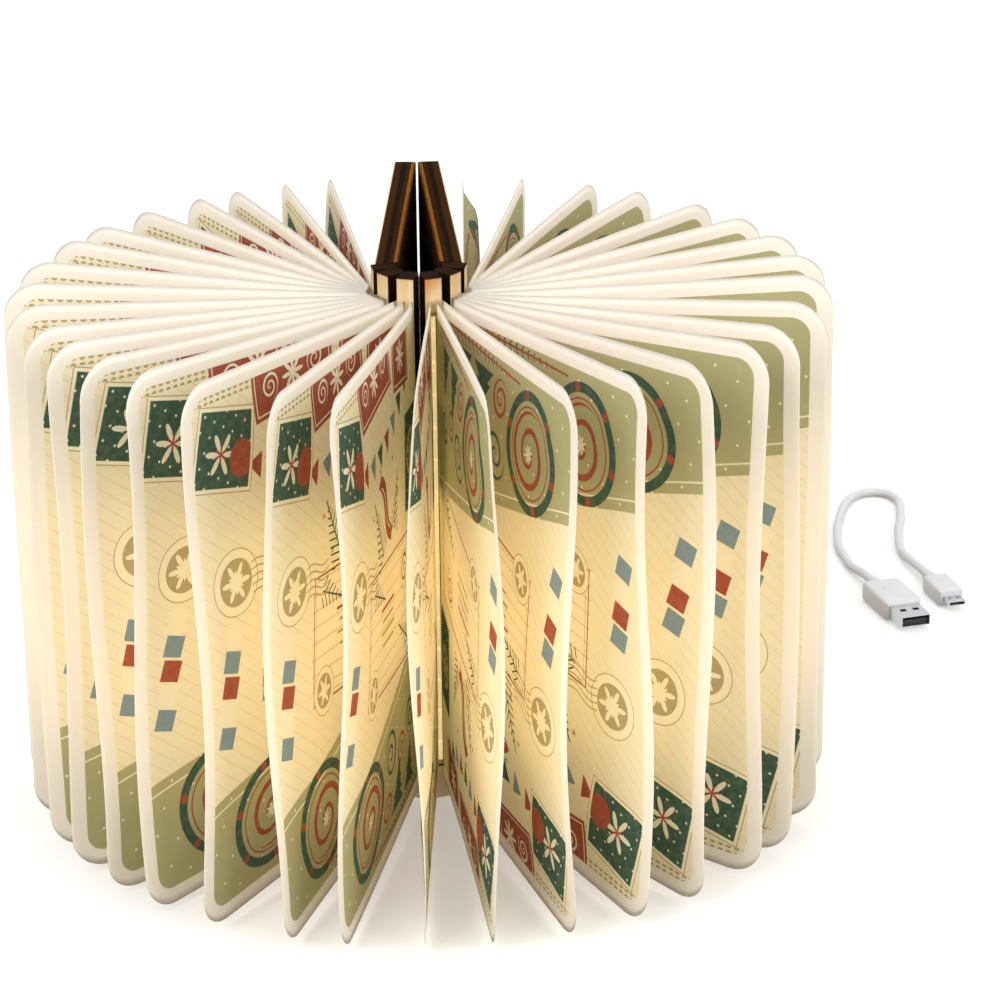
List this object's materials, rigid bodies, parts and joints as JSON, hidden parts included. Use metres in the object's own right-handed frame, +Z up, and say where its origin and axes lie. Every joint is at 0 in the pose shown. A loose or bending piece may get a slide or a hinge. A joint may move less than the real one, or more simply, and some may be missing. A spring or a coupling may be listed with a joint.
{
  "type": "folding book lamp",
  "caption": "Rechargeable lamp shaped like a book: wooden covers fold back through a full turn and fan the glued paper leaves into a glowing drum.",
  "frame": {"origin": "middle of the open drum's base, on the surface it stands on", "axes": "+Z up, along every hinge; -Y towards the spine's outer bulge of leaves, +Y towards the covers that meet back to back; +X to the right as seen from -Y"},
  "size_m": [0.3541, 0.4166, 0.1915],
  "materials": {
    "slat_wood": "pale wood with edges burnt dark by the laser",
    "board_wood": "laser cut edge, dark brown",
    "skin_wood": "amber brown, satin",
    "lining_paper": "matt paper",
    "leaf_paper": "printed matt paper, lit from within",
    "light_strip": "white flexible board with light chips",
    "magnet": "nickel plated",
    "battery_foil": "foil pouch",
    "circuit_board": "green solder mask",
    "plug_metal": "nickel plated steel",
    "switch_glass": "green glass tube",
    "lead_plastic": "soft white plastic"
  },
  "bodies": {
    "slat_3": {"slat_3": "slat_wood", "light_strip_left": "light_strip", "charging_lead": "lead_plastic", "usb_plug_body": "lead_plastic", "usb_plug_shell": "plug_metal", "micro_plug_body": "lead_plastic", "micro_plug_shell": "plug_metal"},
    "slat_4": {"slat_4": "slat_wood", "light_strip_right": "light_strip"},
    "slat_2": {"slat_2": "slat_wood"},
    "slat_5": {"slat_5": "slat_wood"},
    "slat_6": {"slat_6": "slat_wood"},
    "slat_1": {"slat_1": "slat_wood", "switch_magnet": "magnet"},
    "cover_left": {"cover_board_left": "board_wood", "cover_skin_left": "skin_wood", "cover_lining_left": "lining_paper", "cover_magnets_left": "magnet", "battery": "battery_foil", "charging_board": "circuit_board", "charging_socket": "plug_metal", "magnetic_switch": "switch_glass"},
    "cover_right": {"cover_board_right": "board_wood", "cover_skin_right": "skin_wood", "cover_lining_right": "lining_paper", "cover_magnets_right": "magnet"},
    "leaf_left_01": {"leaf_left_01": "leaf_paper"},
    "leaf_left_02": {"leaf_left_02": "leaf_paper"},
    "leaf_left_03": {"leaf_left_03": "leaf_paper"},
    "leaf_left_04": {"leaf_left_04": "leaf_paper"},
    "leaf_left_05": {"leaf_left_05": "leaf_paper"},
    "leaf_left_06": {"leaf_left_06": "leaf_paper"},
    "leaf_left_07": {"leaf_left_07": "leaf_paper"},
    "leaf_left_08": {"leaf_left_08": "leaf_paper"},
    "leaf_left_09": {"leaf_left_09": "leaf_paper"},
    "leaf_left_10": {"leaf_left_10": "leaf_paper"},
    "leaf_left_11": {"leaf_left_11": "leaf_paper"},
    "leaf_left_12": {"leaf_left_12": "leaf_paper"},
    "leaf_left_13": {"leaf_left_13": "leaf_paper"},
    "leaf_left_14": {"leaf_left_14": "leaf_paper"},
    "leaf_left_15": {"leaf_left_15": "leaf_paper"},
    "leaf_left_16": {"leaf_left_16": "leaf_paper"},
    "leaf_left_17": {"leaf_left_17": "leaf_paper"},
    "leaf_right_01": {"leaf_right_01": "leaf_paper"},
    "leaf_right_02": {"leaf_right_02": "leaf_paper"},
    "leaf_right_03": {"leaf_right_03": "leaf_paper"},
    "leaf_right_04": {"leaf_right_04": "leaf_paper"},
    "leaf_right_05": {"leaf_right_05": "leaf_paper"},
    "leaf_right_06": {"leaf_right_06": "leaf_paper"},
    "leaf_right_07": {"leaf_right_07": "leaf_paper"},
    "leaf_right_08": {"leaf_right_08": "leaf_paper"},
    "leaf_right_09": {"leaf_right_09": "leaf_paper"},
    "leaf_right_10": {"leaf_right_10": "leaf_paper"},
    "leaf_right_11": {"leaf_right_11": "leaf_paper"},
    "leaf_right_12": {"leaf_right_12": "leaf_paper"},
    "leaf_right_13": {"leaf_right_13": "leaf_paper"},
    "leaf_right_14": {"leaf_right_14": "leaf_paper"},
    "leaf_right_15": {"leaf_right_15": "leaf_paper"},
    "leaf_right_16": {"leaf_right_16": "leaf_paper"},
    "leaf_right_17": {"leaf_right_17": "leaf_paper"}
  },
  "joints": [
    {"name": "left_fold", "type": "hinge", "parent": "slat_1", "child": "cover_left", "pos_m": [-0.01469, 0.00699, 0.09575], "axis": [0, 0, 1], "range_deg": [0, 102.51]},
    {"name": "slat_2_turn", "type": "hinge", "parent": "slat_3", "child": "slat_2", "pos_m": [-0.00616, -0.00433, 0.09575], "axis": [0, 0, 1], "range_deg": [0, 33.5]},
    {"name": "slat_1_turn", "type": "hinge", "parent": "slat_2", "child": "slat_1", "pos_m": [-0.01015, 0.0008, 0.09575], "axis": [0, 0, 1], "range_deg": [0, 28.4]},
    {"name": "right_fold", "type": "hinge", "parent": "slat_6", "child": "cover_right", "pos_m": [0.01469, 0.00699, 0.09575], "axis": [0, 0, -1], "range_deg": [0, 102.51]},
    {"name": "slat_4_turn", "type": "hinge", "parent": "slat_3", "child": "slat_4", "pos_m": [0, -0.0064, 0.09575], "axis": [0, 0, -1], "range_deg": [0, 37.2]},
    {"name": "slat_5_turn", "type": "hinge", "parent": "slat_4", "child": "slat_5", "pos_m": [0.00616, -0.00433, 0.09575], "axis": [0, 0, -1], "range_deg": [0, 33.5]},
    {"name": "slat_6_turn", "type": "hinge", "parent": "slat_5", "child": "slat_6", "pos_m": [0.01015, 0.0008, 0.09575], "axis": [0, 0, -1], "range_deg": [0, 28.4]},
    {"name": "leaf_left_01_turn", "type": "hinge", "parent": "cover_left", "child": "leaf_left_01", "pos_m": [-0.01528, 0.00902, 0.09575], "axis": [0, 0, -1], "range_deg": [0, 11.2]},
    {"name": "leaf_left_02_turn", "type": "hinge", "parent": "slat_1", "child": "leaf_left_02", "pos_m": [-0.01656, 0.00546, 0.09575], "axis": [0, 0, 1], "range_deg": [0, 83.07]},
    {"name": "leaf_left_03_turn", "type": "hinge", "parent": "slat_1", "child": "leaf_left_03", "pos_m": [-0.0163, 0.00388, 0.09575], "axis": [0, 0, 1], "range_deg": [0, 75.09]},
    {"name": "leaf_left_04_turn", "type": "hinge", "parent": "slat_1", "child": "leaf_left_04", "pos_m": [-0.01613, 0.00288, 0.09575], "axis": [0, 0, 1], "range_deg": [0, 65.97]},
    {"name": "leaf_left_05_turn", "type": "hinge", "parent": "slat_1", "child": "leaf_left_05", "pos_m": [-0.01601, 0.00218, 0.09575], "axis": [0, 0, 1], "range_deg": [0, 55.12]},
    {"name": "leaf_left_06_turn", "type": "hinge", "parent": "slat_1", "child": "leaf_left_06", "pos_m": [-0.01592, 0.00161, 0.09575], "axis": [0, 0, 1], "range_deg": [0, 44.18]},
    {"name": "leaf_left_07_turn", "type": "hinge", "parent": "slat_1", "child": "leaf_left_07", "pos_m": [-0.01584, 0.00113, 0.09575], "axis": [0, 0, 1], "range_deg": [0, 33.74]},
    {"name": "leaf_left_08_turn", "type": "hinge", "parent": "slat_1", "child": "leaf_left_08", "pos_m": [-0.01576, 0.00069, 0.09575], "axis": [0, 0, 1], "range_deg": [0, 22.13]},
    {"name": "leaf_left_09_turn", "type": "hinge", "parent": "slat_1", "child": "leaf_left_09", "pos_m": [-0.01569, 0.00028, 0.09575], "axis": [0, 0, 1], "range_deg": [0, 9.37]},
    {"name": "leaf_left_10_turn", "type": "hinge", "parent": "slat_2", "child": "leaf_left_10", "pos_m": [-0.01429, -0.00292, 0.09575], "axis": [0, 0, 1], "range_deg": [0, 26.97]},
    {"name": "leaf_left_11_turn", "type": "hinge", "parent": "slat_2", "child": "leaf_left_11", "pos_m": [-0.01341, -0.00405, 0.09575], "axis": [0, 0, 1], "range_deg": [0, 16.43]},
    {"name": "leaf_left_12_turn", "type": "hinge", "parent": "slat_2", "child": "leaf_left_12", "pos_m": [-0.01254, -0.00517, 0.09575], "axis": [0, 0, 1], "range_deg": [0, 6.53]},
    {"name": "leaf_left_13_turn", "type": "hinge", "parent": "slat_2", "child": "leaf_left_13", "pos_m": [-0.01166, -0.0063, 0.09575], "axis": [0, 0, -1], "range_deg": [0, 1.67]},
    {"name": "leaf_left_14_turn", "type": "hinge", "parent": "slat_2", "child": "leaf_left_14", "pos_m": [-0.01079, -0.00742, 0.09575], "axis": [0, 0, -1], "range_deg": [0, 10.95]},
    {"name": "leaf_left_15_turn", "type": "hinge", "parent": "slat_3", "child": "leaf_left_15", "pos_m": [-0.00755, -0.00971, 0.09575], "axis": [0, 0, 1], "range_deg": [0, 12.82]},
    {"name": "leaf_left_16_turn", "type": "hinge", "parent": "slat_3", "child": "leaf_left_16", "pos_m": [-0.00485, -0.01062, 0.09575], "axis": [0, 0, 1], "range_deg": [0, 2.07]},
    {"name": "leaf_left_17_turn", "type": "hinge", "parent": "slat_3", "child": "leaf_left_17", "pos_m": [-0.00215, -0.01153, 0.09575], "axis": [0, 0, -1], "range_deg": [0, 7.01]},
    {"name": "leaf_right_01_turn", "type": "hinge", "parent": "cover_right", "child": "leaf_right_01", "pos_m": [0.01528, 0.00902, 0.09575], "axis": [0, 0, 1], "range_deg": [0, 3.55]},
    {"name": "leaf_right_02_turn", "type": "hinge", "parent": "slat_6", "child": "leaf_right_02", "pos_m": [0.01656, 0.00546, 0.09575], "axis": [0, 0, -1], "range_deg": [0, 87.96]},
    {"name": "leaf_right_03_turn", "type": "hinge", "parent": "slat_6", "child": "leaf_right_03", "pos_m": [0.01624, 0.00357, 0.09575], "axis": [0, 0, -1], "range_deg": [0, 76.77]},
    {"name": "leaf_right_04_turn", "type": "hinge", "parent": "slat_6", "child": "leaf_right_04", "pos_m": [0.01607, 0.00253, 0.09575], "axis": [0, 0, -1], "range_deg": [0, 65.5]},
    {"name": "leaf_right_05_turn", "type": "hinge", "parent": "slat_6", "child": "leaf_right_05", "pos_m": [0.01595, 0.00181, 0.09575], "axis": [0, 0, -1], "range_deg": [0, 53.01]},
    {"name": "leaf_right_06_turn", "type": "hinge", "parent": "slat_6", "child": "leaf_right_06", "pos_m": [0.01585, 0.00123, 0.09575], "axis": [0, 0, -1], "range_deg": [0, 42.09]},
    {"name": "leaf_right_07_turn", "type": "hinge", "parent": "slat_6", "child": "leaf_right_07", "pos_m": [0.01577, 0.00074, 0.09575], "axis": [0, 0, -1], "range_deg": [0, 28.85]},
    {"name": "leaf_right_08_turn", "type": "hinge", "parent": "slat_6", "child": "leaf_right_08", "pos_m": [0.01569, 0.00028, 0.09575], "axis": [0, 0, -1], "range_deg": [0, 18.37]},
    {"name": "leaf_right_09_turn", "type": "hinge", "parent": "slat_5", "child": "leaf_right_09", "pos_m": [0.01429, -0.00292, 0.09575], "axis": [0, 0, -1], "range_deg": [0, 35.9]},
    {"name": "leaf_right_10_turn", "type": "hinge", "parent": "slat_5", "child": "leaf_right_10", "pos_m": [0.01359, -0.00382, 0.09575], "axis": [0, 0, -1], "range_deg": [0, 21.31]},
    {"name": "leaf_right_11_turn", "type": "hinge", "parent": "slat_5", "child": "leaf_right_11", "pos_m": [0.01289, -0.00472, 0.09575], "axis": [0, 0, -1], "range_deg": [0, 9.59]},
    {"name": "leaf_right_12_turn", "type": "hinge", "parent": "slat_5", "child": "leaf_right_12", "pos_m": [0.01219, -0.00562, 0.09575], "axis": [0, 0, 1], "range_deg": [0, 0.9563]},
    {"name": "leaf_right_13_turn", "type": "hinge", "parent": "slat_5", "child": "leaf_right_13", "pos_m": [0.01149, -0.00652, 0.09575], "axis": [0, 0, 1], "range_deg": [0, 12.56]},
    {"name": "leaf_right_14_turn", "type": "hinge", "parent": "slat_5", "child": "leaf_right_14", "pos_m": [0.01079, -0.00742, 0.09575], "axis": [0, 0, 1], "range_deg": [0, 23.59]},
    {"name": "leaf_right_15_turn", "type": "hinge", "parent": "slat_4", "child": "leaf_right_15", "pos_m": [0.00755, -0.00971, 0.09575], "axis": [0, 0, 1], "range_deg": [0, 0.8768]},
    {"name": "leaf_right_16_turn", "type": "hinge", "parent": "slat_4", "child": "leaf_right_16", "pos_m": [0.00563, -0.01036, 0.09575], "axis": [0, 0, 1], "range_deg": [0, 10.86]},
    {"name": "leaf_right_17_turn", "type": "hinge", "parent": "slat_4", "child": "leaf_right_17", "pos_m": [0.00371, -0.01101, 0.09575], "axis": [0, 0, 1], "range_deg": [0, 21.93]}
  ],
  "couplings": [
    {"joint": "slat_2_turn", "follows": "left_fold", "ratio": 0.3268},
    {"joint": "slat_1_turn", "follows": "left_fold", "ratio": 0.27705},
    {"joint": "slat_4_turn", "follows": "right_fold", "ratio": 0.36289},
    {"joint": "slat_5_turn", "follows": "right_fold", "ratio": 0.3268},
    {"joint": "slat_6_turn", "follows": "right_fold", "ratio": 0.27705},
    {"joint": "leaf_left_01_turn", "follows": "left_fold", "ratio": 0.1093},
    {"joint": "leaf_left_02_turn", "follows": "left_fold", "ratio": 0.81033},
    {"joint": "leaf_left_03_turn", "follows": "left_fold", "ratio": 0.7325},
    {"joint": "leaf_left_04_turn", "follows": "left_fold", "ratio": 0.64354},
    {"joint": "leaf_left_05_turn", "follows": "left_fold", "ratio": 0.53769},
    {"joint": "leaf_left_06_turn", "follows": "left_fold", "ratio": 0.43101},
    {"joint": "leaf_left_07_turn", "follows": "left_fold", "ratio": 0.32914},
    {"joint": "leaf_left_08_turn", "follows": "left_fold", "ratio": 0.21588},
    {"joint": "leaf_left_09_turn", "follows": "left_fold", "ratio": 0.091418},
    {"joint": "leaf_left_10_turn", "follows": "left_fold", "ratio": 0.26305},
    {"joint": "leaf_left_11_turn", "follows": "left_fold", "ratio": 0.16027},
    {"joint": "leaf_left_12_turn", "follows": "left_fold", "ratio": 0.063662},
    {"joint": "leaf_left_13_turn", "follows": "left_fold", "ratio": 0.01628},
    {"joint": "leaf_left_14_turn", "follows": "left_fold", "ratio": 0.10679},
    {"joint": "leaf_left_15_turn", "follows": "left_fold", "ratio": 0.1251},
    {"joint": "leaf_left_16_turn", "follows": "left_fold", "ratio": 0.020187},
    {"joint": "leaf_left_17_turn", "follows": "right_fold", "ratio": 0.068398},
    {"joint": "leaf_right_01_turn", "follows": "right_fold", "ratio": 0.034613},
    {"joint": "leaf_right_02_turn", "follows": "right_fold", "ratio": 0.85806},
    {"joint": "leaf_right_03_turn", "follows": "right_fold", "ratio": 0.74893},
    {"joint": "leaf_right_04_turn", "follows": "right_fold", "ratio": 0.63898},
    {"joint": "leaf_right_05_turn", "follows": "right_fold", "ratio": 0.51715},
    {"joint": "leaf_right_06_turn", "follows": "right_fold", "ratio": 0.41058},
    {"joint": "leaf_right_07_turn", "follows": "right_fold", "ratio": 0.28145},
    {"joint": "leaf_right_08_turn", "follows": "right_fold", "ratio": 0.17924},
    {"joint": "leaf_right_09_turn", "follows": "right_fold", "ratio": 0.35016},
    {"joint": "leaf_right_10_turn", "follows": "right_fold", "ratio": 0.20789},
    {"joint": "leaf_right_11_turn", "follows": "right_fold", "ratio": 0.093574},
    {"joint": "leaf_right_12_turn", "follows": "right_fold", "ratio": 0.0093288},
    {"joint": "leaf_right_13_turn", "follows": "right_fold", "ratio": 0.12255},
    {"joint": "leaf_right_14_turn", "follows": "right_fold", "ratio": 0.23009},
    {"joint": "leaf_right_15_turn", "follows": "right_fold", "ratio": 0.0085533},
    {"joint": "leaf_right_16_turn", "follows": "right_fold", "ratio": 0.10597},
    {"joint": "leaf_right_17_turn", "follows": "right_fold", "ratio": 0.21397}
  ]
}
